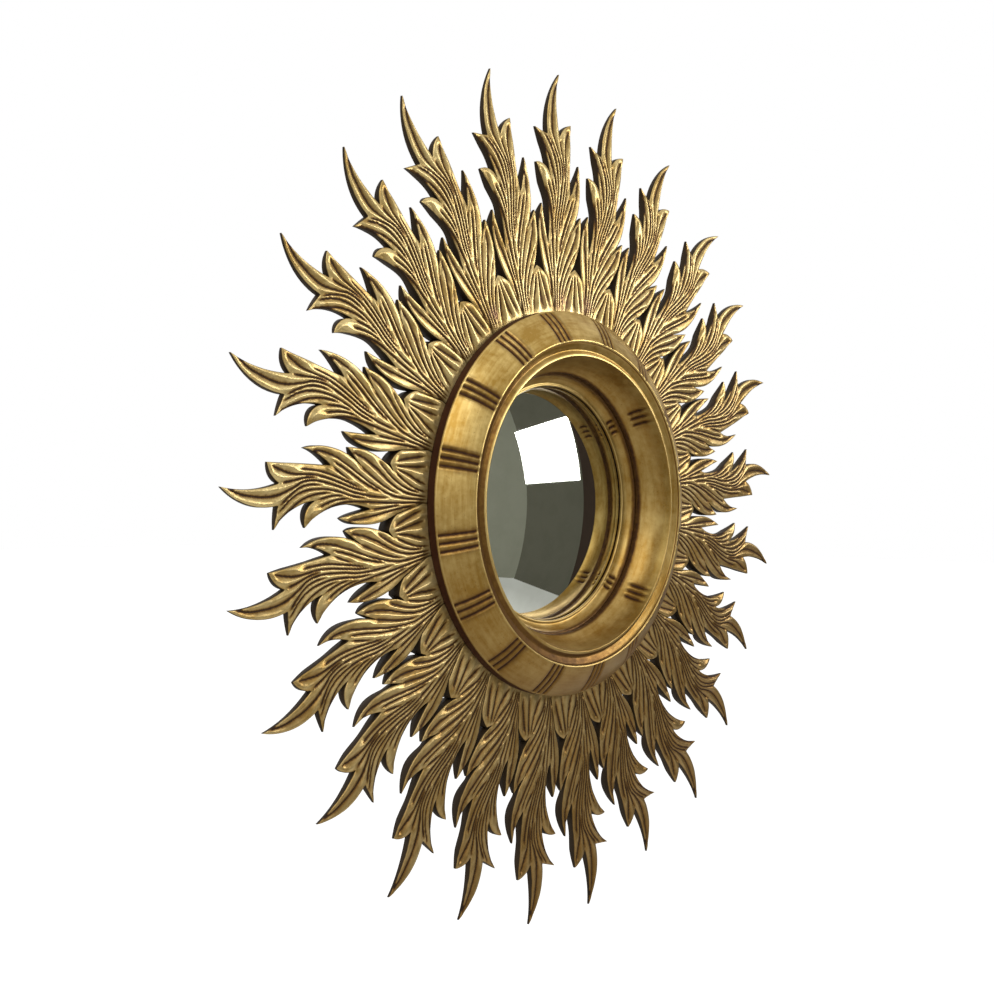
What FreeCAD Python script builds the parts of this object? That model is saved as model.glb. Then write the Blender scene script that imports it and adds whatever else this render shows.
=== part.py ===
"""Convex butler's mirror: a turned and carved giltwood ring round a domed mirror
glass, with twenty-five carved flame rays.  Millimetres.

The mirror hangs on a wall.  +Z is up, +X is to the viewer's right and the front
faces -Y.  The origin is on the mirror's axis, on the flat back that meets the wall,
so a height above the wall is -Y.  Angles round the mirror run clockwise from the
top, as the viewer sees them.
"""

import FreeCAD, Part
import math
import os
from FreeCAD import Vector

# ---------------------------------------------------------------- clearances
GLUE_GAP = 0.3            # between turned pieces that slide into each other
SCREW_GAP = 0.05          # radial, screw to its hole
RING_PIN_GAP = 0.1        # radial, hanging ring in its knuckle

# ---------------------------------------------------------------- carrier ring (plywood)
CARRIER_T = 12.0
CARRIER_MARGIN = 18.0     # how far it reaches out beyond the turned ring

# ---------------------------------------------------------------- rays
RAY_COUNT = 25
FIRST_RAY_ANGLE = 342.9   # root of ray 1, clockwise from the top
ROOT_T = 17.0             # thickness at the root
FRONT_FALL = 4.0          # the front falls this much from root to tip
BACK_RELIEF = 8.0         # the back is thinned this much from root to tip
FRONT_MARGIN = 9.0        # the front stays flat this far out beyond the turned ring
BACK_MARGIN = 21.0        # and the back this far out beyond the carrier
LEAF_FOOT_R = 240.0       # reach and lean act outside this radius
LEAF_TIP = (9.4, 433.0)   # tip of the typical ray
JOINT_FOOT = (-4.5, 200.0)
JOINT_HEAD = (-14.5, 232.0)

# How far each ray reaches, and how many degrees its tip leans clockwise.
RAY_REACH = (437, 441, 437, 430, 434, 427, 427, 418, 418, 407, 420, 431, 420,
             429, 427, 423, 428, 424, 427, 427, 427, 435, 430, 430, 435)
RAY_LEAN = (1.3, 0.8, -0.7, -0.7, 1.0, -0.8, -1.4, -0.2, 0.6, 1.8, 0.9, 0.1, 0.1,
            0.6, -0.7, -0.7, -1.5, 0.0, -0.3, 0.1, -0.7, -0.5, 0.5, 0.8, -1.4)

# The lobes of the typical ray, up its left side, over the tip and down its right:
# bulge of the rising edge, tip, bulge of the falling edge, notch that ends it, and
# where the chisel valley from that notch runs out.
# Across the ray (clockwise positive), then out from the mirror's axis.
# None stands for a straight edge.
LOBES = (
    ((-24.5, 268.0), (-19.0, 303.0), None, (-10.5, 265.0), (-3.0, 212.0)),
    ((-7.5, 298.0), (-27.0, 342.0), (-13.0, 341.0), (-4.0, 331.0), (2.5, 262.0)),
    ((-11.0, 354.0), (-28.0, 376.0), None, (-8.0, 372.0), (1.0, 314.0)),
    ((-6.5, 404.0), LEAF_TIP, (6.5, 401.0), (11.0, 371.0), (7.5, 300.0)),
    ((18.5, 380.5), (29.0, 385.0), None, (27.0, 314.0), (8.0, 240.0)),
    ((35.5, 327.0), (41.0, 346.0), (43.5, 318.0), (27.0, 277.0), (7.0, 218.0)),
    (None, (43.5, 294.5), (38.5, 261.5), (24.5, 238.0), (6.0, 202.0)),
)
TONGUE_LEFT_BULGE = (28.0, 239.8)
TONGUE_TIP = (31.0, 241.5)
TONGUE_RIGHT_BULGE = (38.0, 236.5)

# Chisel valleys from each notch back towards the root, between the lobes.
VALLEY_HALF_W = 2.6
VALLEY_DEPTH = 5.0
VALLEY_LIFT = 1.0         # the cut starts this far above the front

# ---------------------------------------------------------------- turned ring
BAND_W = 33.0             # wide convex band, outer wall to crest
RING_WALL_H = 11.0        # outer wall, up from the rays
RING_CREST_H = 33.5       # crest, the inner arris of the band
CREST_W = 8.0             # crest to the foot of the cavetto
BAND_BULGE = 5.5          # of the band, out from the straight line across it
QUIRK_W = 2.5             # narrow step inside the crest
QUIRK_DEPTH = 2.0
CAVETTO_W = 5.0           # foot of the cavetto to the lip
CAVETTO_H = 27.5
LIP_W = 1.8               # bright lip at the head of the cove
LIP_H = 32.0
COVE_W = 16.0             # lip to the foot of the cove
COVE_FOOT_H = 0.0
COVE_BULGE = 3.5          # hollow of the cove, from the straight line down it
NOSE_T = 5.5              # wood between the cove's foot and the rebate
NOSE_W = 6.0              # how far the cove's foot covers the rebate
SPIGOT_WALL = 9.5         # wood between the rebate and the spigot's outside
SPIGOT_GAP = 0.5          # ring spigot in the opening of the rays and the carrier

# ---------------------------------------------------------------- sight ring, glass, back
BACKBOARD_T = 4.0
BACKBOARD_GAP = 1.0
SIGHT_WALL = 15.0         # glass's edge to the rebate
SIGHT_LAP = 4.0           # how far the bead covers the glass
SIGHT_BEAD_W = 3.0
SIGHT_BEAD_H = 3.5        # from the glass's seat to the top of the bead
SIGHT_BEAD_BEVEL = 1.0
SIGHT_TOP_W = 7.5         # flat on its top, under the cove's foot
SIGHT_COVE_BULGE = 1.6
SEAT_H = 12.0             # seat of the glass, up from the wall
GLASS_R = 125.0
GLASS_T = 3.0
GLASS_SAG = 22.0
GLASS_EDGE_GAP = 1.0
PACKING_W = 9.5
PACKING_GAP = 0.25

# ---------------------------------------------------------------- screws
RING_SCREW_EVERY = 5      # one ray in five is screwed through
RING_SCREW_IN = 9.0       # out from the crest
RING_SCREW_R = 2.0
RING_SCREW_HEAD_R = 4.0
RING_SCREW_LENGTH = 45.0
BACK_SCREW_COUNT = 6
BACK_SCREW_R = 1.5
BACK_SCREW_HEAD_R = 3.0
BACK_SCREW_LENGTH = 16.0

# ---------------------------------------------------------------- hanger
POCKET_MARGIN = 7.0       # carrier's inner edge to the pocket
POCKET_CLEARANCE = 4.0    # round the upright hanging ring
POCKET_DEPTH = 8.0
STRAP_W = 18.0
STRAP_T = 1.5
STRAP_MARGIN = 3.0        # pocket's foot to the strap
STRAP_LENGTH = 26.0       # to the middle of the knuckle
KNUCKLE_R = 3.2
WIRE_R = 1.5
HANG_RING_HALF_W = 11.5   # to the middle of the wire
HANG_RING_LEG = 6.0
HANG_SCREW_R = 1.75
HANG_SCREW_HEAD_R = 3.4
HANG_SCREW_HEAD_T = 2.0
HANG_SCREW_LENGTH = 16.0
HANG_SCREW_UPS = (5.0, 17.0)    # up from the strap's foot

# ---------------------------------------------------------------- worked out
SIGHT_R = GLASS_R - SIGHT_LAP
REBATE_R = GLASS_R + SIGHT_WALL
SIGHT_TOP_R = REBATE_R - SIGHT_TOP_W
SPIGOT_R = REBATE_R + SPIGOT_WALL
CARRIER_INNER_R = SPIGOT_R + SPIGOT_GAP
COVE_FOOT_R = REBATE_R - NOSE_W
LIP_R = COVE_FOOT_R + COVE_W
CAVETTO_R = LIP_R + CAVETTO_W
RING_CREST_R = CAVETTO_R + CREST_W
RING_OUTER_R = RING_CREST_R + BAND_W
RING_SCREW_PLACE_R = RING_CREST_R + RING_SCREW_IN
CARRIER_OUTER_R = RING_OUTER_R + CARRIER_MARGIN
FRONT_FLAT_R = RING_OUTER_R + FRONT_MARGIN
BACK_FLAT_R = CARRIER_OUTER_R + BACK_MARGIN
RAY_PITCH = 360.0 / RAY_COUNT
RAY_BACK_H = CARRIER_T
RAY_FRONT_H = RAY_BACK_H + ROOT_T
REBATE_TOP_H = RAY_FRONT_H + COVE_FOOT_H - NOSE_T
BACKBOARD_R = CARRIER_INNER_R - BACKBOARD_GAP
BACK_SCREW_PLACE_R = (REBATE_R + SPIGOT_R) / 2
POCKET_BOTTOM_Z = CARRIER_INNER_R + POCKET_MARGIN
STRAP_BOTTOM_Z = POCKET_BOTTOM_Z + STRAP_MARGIN
KNUCKLE_Z = STRAP_BOTTOM_Z + STRAP_LENGTH
HANG_RING_TOP_Z = KNUCKLE_Z + HANG_RING_LEG + HANG_RING_HALF_W + WIRE_R
POCKET_TOP_Z = HANG_RING_TOP_Z + POCKET_CLEARANCE
POCKET_W = 2 * (HANG_RING_HALF_W + WIRE_R + POCKET_CLEARANCE)
HANG_SCREW_ZS = tuple(STRAP_BOTTOM_Z + up for up in HANG_SCREW_UPS)
POCKET_FLOOR_H = POCKET_DEPTH
STRAP_BACK_H = POCKET_FLOOR_H - STRAP_T
KNUCKLE_H = POCKET_FLOOR_H - KNUCKLE_R
AXIS = Vector(0, 1, 0)    # of the mirror, towards the wall
CENTRE = Vector(0, 0, 0)


def place(across, out, height):
    """A point of the mirror: across, out from its axis, and up from the wall."""
    return Vector(across, -height, out)


def turned(outline):
    """A solid turned about the mirror's axis from edges in the (radius, height) plane."""
    face = Part.Face(Part.Wire(outline))
    return face.revolve(CENTRE, AXIS, 360)


def line(start, end):
    """A straight edge of a turned outline."""
    return Part.makeLine(place(0, *start), place(0, *end))


def bulged(start, end, bulge):
    """An arc of a turned outline, bulging to the left of the way from start to end."""
    run = math.hypot(end[0] - start[0], end[1] - start[1])
    left = (-(end[1] - start[1]) / run, (end[0] - start[0]) / run)
    middle = ((start[0] + end[0]) / 2 + left[0] * bulge,
              (start[1] + end[1]) / 2 + left[1] * bulge)
    return Part.Arc(place(0, *start), place(0, *middle), place(0, *end)).toShape()


def straight_outline(points):
    """The closed run of straight edges through the points."""
    return [line(a, b) for a, b in zip(points, points[1:] + points[:1])]


def disc_hole(angle, radius, hole_r, low_h, high_h):
    """A cylinder along the mirror's axis at a clockwise angle and radius."""
    foot = place(0, radius, low_h)
    hole = Part.makeCylinder(hole_r, high_h - low_h, foot, Vector(0, -1, 0))
    hole.rotate(CENTRE, AXIS, angle)
    return hole


# ---------------------------------------------------------------- rays
def shaped(point, reach, lean):
    """A point of the typical ray, moved out to this ray's reach and bent by its lean."""
    across, out = point
    if out <= LEAF_FOOT_R:
        return place(across, out, RAY_BACK_H)
    share = (out - LEAF_FOOT_R) / (LEAF_TIP[1] - LEAF_FOOT_R)
    out = LEAF_FOOT_R + share * (reach - LEAF_FOOT_R)
    moved = place(across, out, RAY_BACK_H)
    turn = FreeCAD.Rotation(AXIS, lean * share ** 2)
    return turn.multVec(moved)


def edge_through(start, bulge, end):
    """An arc through a bulge point, or a straight edge where there is none."""
    if bulge is None:
        return Part.makeLine(start, end)
    return Part.Arc(start, bulge, end).toShape()


def ray_outline(reach, lean):
    """The flame-leaf outline of one ray with the small tongue on its clockwise side."""
    next_ray = FreeCAD.Rotation(AXIS, RAY_PITCH)
    joint_foot = place(*JOINT_FOOT, RAY_BACK_H)
    joint_head = place(*JOINT_HEAD, RAY_BACK_H)
    inner_angle = math.atan2(JOINT_FOOT[0], JOINT_FOOT[1])
    inner = place(CARRIER_INNER_R * math.sin(inner_angle),
                  CARRIER_INNER_R * math.cos(inner_angle), RAY_BACK_H)
    edges = [Part.makeLine(inner, joint_foot), Part.makeLine(joint_foot, joint_head)]
    corner = joint_head
    for rising, tip, falling, notch, run_out in LOBES:
        rising_at = rising and shaped(rising, reach, lean)
        falling_at = falling and shaped(falling, reach, lean)
        tip_at = shaped(tip, reach, lean)
        notch_at = shaped(notch, reach, lean)
        edges.append(edge_through(corner, rising_at, tip_at))
        edges.append(edge_through(tip_at, falling_at, notch_at))
        corner = notch_at
    tongue_left = shaped(TONGUE_LEFT_BULGE, reach, lean)
    tongue_tip = shaped(TONGUE_TIP, reach, lean)
    far_head = next_ray.multVec(joint_head)
    far_foot = next_ray.multVec(joint_foot)
    far_inner = next_ray.multVec(inner)
    half_turn = FreeCAD.Rotation(AXIS, RAY_PITCH / 2)
    inner_middle = half_turn.multVec(inner)
    edges.append(edge_through(corner, tongue_left, tongue_tip))
    edges.append(edge_through(tongue_tip, place(*TONGUE_RIGHT_BULGE, RAY_BACK_H), far_head))
    edges.append(Part.makeLine(far_head, far_foot))
    edges.append(Part.makeLine(far_foot, far_inner))
    edges.append(Part.Arc(far_inner, inner_middle, inner).toShape())
    return Part.Wire(edges)


def ray_side():
    """The block that a ray is thinned to: flat at the root, tapering to the tip."""
    past_tip = 1.1 * max(RAY_REACH)
    half_width = LEAF_TIP[1] / 4
    back_slope = BACK_RELIEF / (LEAF_TIP[1] - BACK_FLAT_R)
    profile = [
        (CARRIER_INNER_R / 2, RAY_BACK_H),
        (BACK_FLAT_R, RAY_BACK_H),
        (past_tip, RAY_BACK_H + back_slope * (past_tip - BACK_FLAT_R)),
        (past_tip, RAY_FRONT_H - front_drop(past_tip)),
        (FRONT_FLAT_R, RAY_FRONT_H),
        (CARRIER_INNER_R / 2, RAY_FRONT_H),
    ]
    corners = [place(-half_width, out, height) for out, height in profile]
    face = Part.Face(Part.makePolygon(corners + corners[:1]))
    return face.extrude(Vector(2 * half_width, 0, 0))


def front_drop(out):
    """How far a ray's front has fallen at a distance from the mirror's axis."""
    return FRONT_FALL * max(0.0, out - FRONT_FLAT_R) / (LEAF_TIP[1] - FRONT_FLAT_R)


def polyhedron(faces):
    """A solid from the corners of its flat faces."""
    walls = [Part.Face(Part.makePolygon(list(corners) + [corners[0]])) for corners in faces]
    solid = Part.Solid(Part.Shell(walls))
    return solid if solid.Volume > 0 else solid.reversed()


def valley(notch, run_out, reach, lean):
    """A chisel valley: deep at the notch and running out between the lobes."""
    start = shaped(notch, reach, lean)
    end = shaped(run_out, reach, lean)
    along = (end - start).normalize()
    mouth = start - along * VALLEY_HALF_W
    top_y = -(RAY_FRONT_H - front_drop(mouth.z)) - VALLEY_LIFT
    rise = VALLEY_DEPTH + VALLEY_LIFT
    half = Vector(-along.z, 0, along.x) * (VALLEY_HALF_W * rise / VALLEY_DEPTH)
    top = Vector(mouth.x, top_y, mouth.z)
    low = top + Vector(0, rise, 0)
    left = top + half
    right = top - half
    point = Vector(end.x, -(RAY_FRONT_H - front_drop(end.z)) - VALLEY_LIFT, end.z)
    return polyhedron([(low, right, left), (low, left, point), (low, point, right),
                       (left, right, point)])


def ray(number, side_block):
    """One carved ray, standing at its place round the mirror."""
    reach = RAY_REACH[number]
    lean = RAY_LEAN[number]
    blank = Part.Face(ray_outline(reach, lean)).extrude(Vector(0, -ROOT_T, 0))
    leaf = blank.common(side_block)
    leaf = leaf.cut([valley(notch, run_out, reach, lean)
                     for rising, tip, falling, notch, run_out in LOBES])
    leaf.rotate(CENTRE, AXIS, ray_angle(number))
    return leaf


def ray_angle(number):
    """The clockwise angle of a ray's root."""
    return FIRST_RAY_ANGLE + RAY_PITCH * number


# ---------------------------------------------------------------- turned pieces
def ring_moulding():
    """The turned ring: convex band, quirk, cove, and the spigot down to the backboard."""
    seat = RAY_FRONT_H
    crest = (RING_CREST_R, seat + RING_CREST_H)
    quirk = (RING_CREST_R - QUIRK_W, seat + RING_CREST_H - QUIRK_DEPTH)
    wall_head = (RING_OUTER_R, seat + RING_WALL_H)
    lip_outer = (LIP_R + LIP_W / 2, seat + LIP_H)
    lip_inner = (LIP_R - LIP_W / 2, seat + LIP_H)
    cove_foot = (COVE_FOOT_R, seat + COVE_FOOT_H)
    outline = [
        line((SPIGOT_R, seat), (RING_OUTER_R, seat)),
        line((RING_OUTER_R, seat), wall_head),
        bulged(wall_head, crest, -BAND_BULGE),
        line(crest, (RING_CREST_R, quirk[1])),
        line((RING_CREST_R, quirk[1]), quirk),
        line(quirk, (CAVETTO_R, seat + CAVETTO_H)),
        line((CAVETTO_R, seat + CAVETTO_H), lip_outer),
        line(lip_outer, lip_inner),
        bulged(lip_inner, cove_foot, COVE_BULGE),
        line(cove_foot, (COVE_FOOT_R, REBATE_TOP_H)),
        line((COVE_FOOT_R, REBATE_TOP_H), (REBATE_R, REBATE_TOP_H)),
        line((REBATE_R, REBATE_TOP_H), (REBATE_R, BACKBOARD_T)),
        line((REBATE_R, BACKBOARD_T), (SPIGOT_R, BACKBOARD_T)),
        line((SPIGOT_R, BACKBOARD_T), (SPIGOT_R, seat)),
    ]
    return turned(outline)


def sight_ring():
    """The slim ring that frames the glass, let into the rebate from behind."""
    outer_r = REBATE_R - GLUE_GAP
    glass_wall_r = GLASS_R + GLASS_EDGE_GAP
    bead_h = SEAT_H + SIGHT_BEAD_H
    bead_outer = (SIGHT_R + SIGHT_BEAD_W, bead_h - SIGHT_BEAD_BEVEL)
    bead_top = (SIGHT_R + SIGHT_BEAD_BEVEL, bead_h)
    bead_inner = (SIGHT_R, bead_h - SIGHT_BEAD_BEVEL)
    top = (SIGHT_TOP_R, REBATE_TOP_H)
    outline = [
        line((outer_r, BACKBOARD_T), (outer_r, REBATE_TOP_H)),
        line((outer_r, REBATE_TOP_H), top),
        bulged(top, bead_outer, SIGHT_COVE_BULGE),
        line(bead_outer, bead_top),
        line(bead_top, bead_inner),
        line(bead_inner, (SIGHT_R, SEAT_H)),
        line((SIGHT_R, SEAT_H), (glass_wall_r, SEAT_H)),
        line((glass_wall_r, SEAT_H), (glass_wall_r, BACKBOARD_T)),
        line((glass_wall_r, BACKBOARD_T), (outer_r, BACKBOARD_T)),
    ]
    return turned(outline)


def glass_curve_r():
    """Radius of the sphere that the glass is a cap of."""
    return (GLASS_R ** 2 + GLASS_SAG ** 2) / (2 * GLASS_SAG)


def glass_rim_h():
    """Height of the glass's front edge, with its dome just under the seat's corner."""
    curve = glass_curve_r()
    rise = math.sqrt(curve ** 2 - SIGHT_R ** 2) - math.sqrt(curve ** 2 - GLASS_R ** 2)
    return SEAT_H - GLUE_GAP - rise


def mirror_glass():
    """The domed glass: one thickness between two like arcs."""
    rim = glass_rim_h()
    curve = glass_curve_r()
    half_r = GLASS_R / 2
    half_h = math.sqrt(curve ** 2 - half_r ** 2) - (curve - GLASS_SAG)

    def arc(base):
        return Part.Arc(place(0, 0, base + GLASS_SAG), place(0, half_r, base + half_h),
                        place(0, GLASS_R, base)).toShape()

    back = rim - GLASS_T
    outline = [
        arc(rim),
        line((GLASS_R, rim), (GLASS_R, back)),
        arc(back),
        line((0, back + GLASS_SAG), (0, rim + GLASS_SAG)),
    ]
    return turned(Part.__sortEdges__(outline))


def packing_ring():
    """The felt ring that presses the glass's rim up to its seat."""
    outer_r = GLASS_R + GLASS_EDGE_GAP / 2
    top = glass_rim_h() - GLASS_T - PACKING_GAP
    return turned(straight_outline([
        (outer_r - PACKING_W, BACKBOARD_T), (outer_r, BACKBOARD_T),
        (outer_r, top), (outer_r - PACKING_W, top)]))


def backboard(holes):
    """The thin disc that closes the back, flush with the carrier."""
    disc = Part.makeCylinder(BACKBOARD_R, BACKBOARD_T, place(0, 0, 0), Vector(0, -1, 0))
    return disc.cut(holes)


def carrier_ring(holes):
    """The plywood ring behind the rays, with the pocket for the hanger at the top."""
    ring = turned(straight_outline([
        (CARRIER_INNER_R, 0), (CARRIER_OUTER_R, 0),
        (CARRIER_OUTER_R, CARRIER_T), (CARRIER_INNER_R, CARRIER_T)]))
    pocket = Part.makeBox(POCKET_W, POCKET_DEPTH, POCKET_TOP_Z - POCKET_BOTTOM_Z,
                          Vector(-POCKET_W / 2, -POCKET_DEPTH, POCKET_BOTTOM_Z))
    return ring.cut([pocket] + holes)


# ---------------------------------------------------------------- screws
def countersunk(angle, radius, shank_r, head_r, length, gap):
    """A countersunk screw driven from the back, or its hole when gap is not zero."""
    top = place(0, radius, 0)
    head = Part.makeCone(head_r + gap, shank_r + gap, head_r - shank_r, top, Vector(0, -1, 0))
    shank = Part.makeCylinder(shank_r + gap, length, top, Vector(0, -1, 0))
    screw = head.fuse(shank).removeSplitter()
    screw.rotate(CENTRE, AXIS, angle)
    return screw


def ring_screws(gap):
    """Screws through the carrier and every fifth ray into the turned ring."""
    middle = RAY_PITCH / 2 + math.degrees(math.atan2(JOINT_FOOT[0], JOINT_FOOT[1]))
    return [countersunk(ray_angle(number) + middle, RING_SCREW_PLACE_R, RING_SCREW_R,
                        RING_SCREW_HEAD_R, RING_SCREW_LENGTH, gap)
            for number in range(0, RAY_COUNT, RING_SCREW_EVERY)]


def back_screws(gap):
    """Screws that hold the backboard to the ring's spigot."""
    step = 360.0 / BACK_SCREW_COUNT
    return [countersunk(step * (number + 0.5), BACK_SCREW_PLACE_R, BACK_SCREW_R,
                        BACK_SCREW_HEAD_R, BACK_SCREW_LENGTH, gap)
            for number in range(BACK_SCREW_COUNT)]


def hanger_screws():
    """Round-headed screws through the strap into the carrier and the top ray."""
    screws = []
    for z in HANG_SCREW_ZS:
        seat = Vector(0, -STRAP_BACK_H, z)
        head = Part.makeCylinder(HANG_SCREW_HEAD_R, HANG_SCREW_HEAD_T, seat, AXIS)
        shank = Part.makeCylinder(HANG_SCREW_R, HANG_SCREW_LENGTH, seat, Vector(0, -1, 0))
        screws.append(head.fuse(shank).removeSplitter())
    return screws


def hanger_screw_holes():
    """Holes for the hanger's screws."""
    return [disc_hole(0, z, HANG_SCREW_R + SCREW_GAP, 0, STRAP_BACK_H + HANG_SCREW_LENGTH)
            for z in HANG_SCREW_ZS]


# ---------------------------------------------------------------- hanger
def hanger_strap():
    """The steel strap, rolled into a knuckle round the hanging ring's bar."""
    strap = Part.makeBox(STRAP_W, STRAP_T, KNUCKLE_Z - STRAP_BOTTOM_Z,
                         Vector(-STRAP_W / 2, -POCKET_FLOOR_H, STRAP_BOTTOM_Z))
    roll_start = Vector(-STRAP_W / 2, -KNUCKLE_H, KNUCKLE_Z)
    roll = Part.makeCylinder(KNUCKLE_R, STRAP_W, roll_start, Vector(1, 0, 0))
    bore = Part.makeCylinder(WIRE_R + RING_PIN_GAP, STRAP_W, roll_start, Vector(1, 0, 0))
    return strap.fuse(roll).cut([bore] + hanger_screw_holes()).removeSplitter()


def hanger_ring():
    """The D-shaped wire ring that the wall hook carries."""
    half_w = HANG_RING_HALF_W
    left = Vector(-half_w, -KNUCKLE_H, KNUCKLE_Z)
    right = Vector(half_w, -KNUCKLE_H, KNUCKLE_Z)
    crown_centre = Vector(0, -KNUCKLE_H, KNUCKLE_Z + HANG_RING_LEG)
    bar = Part.makeCylinder(WIRE_R, 2 * half_w, left, Vector(1, 0, 0))
    legs = [Part.makeCylinder(WIRE_R, HANG_RING_LEG, foot, Vector(0, 0, 1))
            for foot in (left, right)]
    corners = [Part.makeSphere(WIRE_R, foot) for foot in (left, right)]
    wire_end = Part.Face(Part.Wire(Part.makeCircle(
        WIRE_R, crown_centre + Vector(half_w, 0, 0), Vector(0, 0, 1))))
    crown = wire_end.revolve(crown_centre, Vector(0, -1, 0), 180)
    return bar.fuse(legs + corners + [crown]).removeSplitter()


# ---------------------------------------------------------------- the whole mirror
def export(name, shape):
    shape.exportStep("parts/" + name + ".step")
    print(name, "solids", len(shape.Solids), "volume", round(shape.Volume, 1),
          "valid", shape.isValid())


def main():
    os.makedirs("parts", exist_ok=True)
    screw_holes = ring_screws(SCREW_GAP) + hanger_screw_holes()
    side_block = ray_side()
    for number in range(RAY_COUNT):
        leaf = ray(number, side_block)
        through = [hole for hole in screw_holes if leaf.BoundBox.intersect(hole.BoundBox)]
        if through:
            leaf = leaf.cut(through)
        export("ray_%02d" % (number + 1), leaf)
    export("carrier_ring", carrier_ring(screw_holes))
    export("ring_moulding", ring_moulding().cut(ring_screws(SCREW_GAP) + back_screws(SCREW_GAP)))
    export("sight_ring", sight_ring())
    export("mirror_glass", mirror_glass())
    export("packing_ring", packing_ring())
    export("backboard", backboard(back_screws(SCREW_GAP)))
    export("ring_screws", Part.makeCompound(ring_screws(0)))
    export("backboard_screws", Part.makeCompound(back_screws(0)))
    export("hanger_strap", hanger_strap())
    export("hanger_ring", hanger_ring())
    export("hanger_screws", Part.makeCompound(hanger_screws()))


main()
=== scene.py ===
"""Looks of the convex butlers mirror: carved giltwood rays, turned gilt ring, domed mirror
glass and the wooden back.

Blender works in metres.  Sizes below are in millimetres unless they say otherwise, in the
mirror's own frame: across (clockwise), out from the axis, and up from the wall.
"""

import math

import bpy
import numpy as np
from mathutils import Matrix, Vector
from mathutils.geometry import delaunay_2d_cdt


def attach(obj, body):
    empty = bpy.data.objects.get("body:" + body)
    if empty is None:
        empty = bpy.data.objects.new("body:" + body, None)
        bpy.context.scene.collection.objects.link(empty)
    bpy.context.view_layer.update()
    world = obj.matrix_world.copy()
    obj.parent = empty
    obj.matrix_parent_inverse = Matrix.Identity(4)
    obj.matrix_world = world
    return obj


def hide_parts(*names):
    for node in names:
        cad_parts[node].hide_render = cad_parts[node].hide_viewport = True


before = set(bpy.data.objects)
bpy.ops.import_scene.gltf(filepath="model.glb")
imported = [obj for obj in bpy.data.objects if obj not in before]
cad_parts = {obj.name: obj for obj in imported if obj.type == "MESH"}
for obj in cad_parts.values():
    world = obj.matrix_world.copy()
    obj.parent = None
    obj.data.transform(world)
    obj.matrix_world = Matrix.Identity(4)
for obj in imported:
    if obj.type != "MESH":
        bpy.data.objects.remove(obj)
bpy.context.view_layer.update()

MM = 0.001
SEED = 8                  # of the unevenness that each ray gets

# ------------------------------------------------------------------ rays
# Shared with the solids: places, heights, outline, and each ray's reach and lean.
RAY_COUNT = 25
RAY_PITCH = 360.0 / RAY_COUNT
FIRST_RAY_ANGLE = 342.9
RAY_BACK_H = 12.0
RAY_FRONT_H = 29.0
LEAF_FOOT_R = 240.0
LEAF_TIP = (9.4, 433.0)
FRONT_FLAT_R = 205.0      # the front is flat out to here
BACK_FLAT_R = 235.0       # and the back out to here
FRONT_FALL = 4.0          # the front falls this much from there to the tip
BACK_RELIEF = 8.0         # and the back is thinned this much
INNER_R = 152.0           # the boards' hidden inner ends
JOINT_FOOT = (-4.5, 200.0)
JOINT_HEAD = (-14.5, 232.0)
RAY_REACH = (437, 441, 437, 430, 434, 427, 427, 418, 418, 407, 420, 431, 420,
             429, 427, 423, 428, 424, 427, 427, 427, 435, 430, 430, 435)
RAY_LEAN = (1.3, 0.8, -0.7, -0.7, 1.0, -0.8, -1.4, -0.2, 0.6, 1.8, 0.9, 0.1, 0.1,
            0.6, -0.7, -0.7, -1.5, 0.0, -0.3, 0.1, -0.7, -0.5, 0.5, 0.8, -1.4)

# Bulge of the rising edge, tip, bulge of the falling edge, notch.
LOBES = (
    ((-24.5, 268.0), (-19.0, 303.0), None, (-10.5, 265.0)),
    ((-7.5, 298.0), (-27.0, 342.0), (-13.0, 341.0), (-4.0, 331.0)),
    ((-11.0, 354.0), (-28.0, 376.0), None, (-8.0, 372.0)),
    ((-6.5, 404.0), LEAF_TIP, (6.5, 401.0), (11.0, 371.0)),
    ((18.5, 380.5), (29.0, 385.0), None, (27.0, 314.0)),
    ((35.5, 327.0), (41.0, 346.0), (43.5, 318.0), (27.0, 277.0)),
    (None, (43.5, 294.5), (38.5, 261.5), (24.5, 238.0)),
)
TONGUE_LEFT_BULGE = (28.0, 239.8)
TONGUE_TIP = (31.0, 241.5)
TONGUE_RIGHT_BULGE = (38.0, 236.5)

# How far from its tip each lobe is undercut to a thin end, the blade's last.
TIP_REACH = (26.0, 26.0, 22.0, 46.0, 22.0, 28.0, 26.0)
TIP_T = 4.4

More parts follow.
